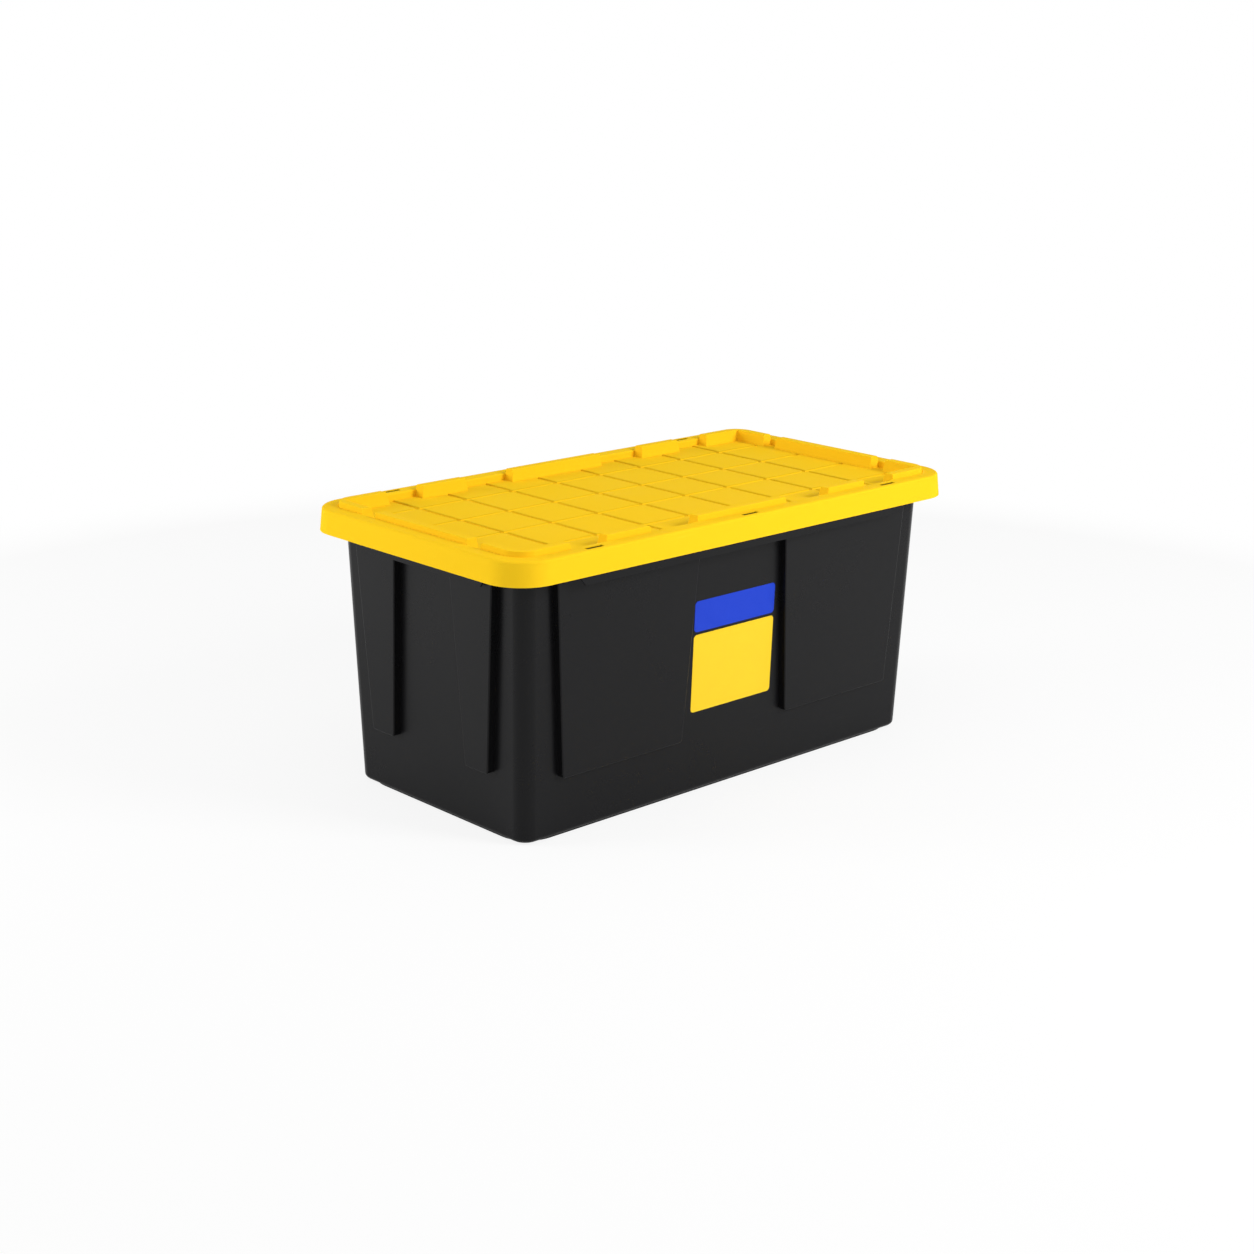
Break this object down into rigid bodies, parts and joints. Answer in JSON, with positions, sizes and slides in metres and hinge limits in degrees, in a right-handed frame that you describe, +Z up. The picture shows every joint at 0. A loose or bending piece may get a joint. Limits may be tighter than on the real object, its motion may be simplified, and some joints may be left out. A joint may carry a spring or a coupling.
{
  "type": "storage box",
  "caption": "Long plastic storage box with flared walls, raised panels, finger gaps under a turned-down rim and a lift-off lid whose ridges frame a stacked box.",
  "frame": {"origin": "middle of the box's footprint, on the surface it stands on", "axes": "+X along the length, +Y towards the back wall (the label is on the -Y wall), +Z up"},
  "size_m": [1.06, 0.562, 0.503],
  "materials": {
    "tub_plastic": "satin black polypropylene",
    "lid_plastic": "satin yellow polypropylene",
    "label_yellow": "satin film",
    "label_blue": "satin film"
  },
  "bodies": {
    "tub_body": {"tub": "tub_plastic", "label_field": "label_yellow", "label_header": "label_blue"},
    "lid_body": {"lid": "lid_plastic"}
  },
  "joints": [
    {"name": "lid_lift", "type": "slide", "parent": "tub_body", "child": "lid_body", "axis": [0, 0, 1], "range_m": [0, 0.5]}
  ]
}
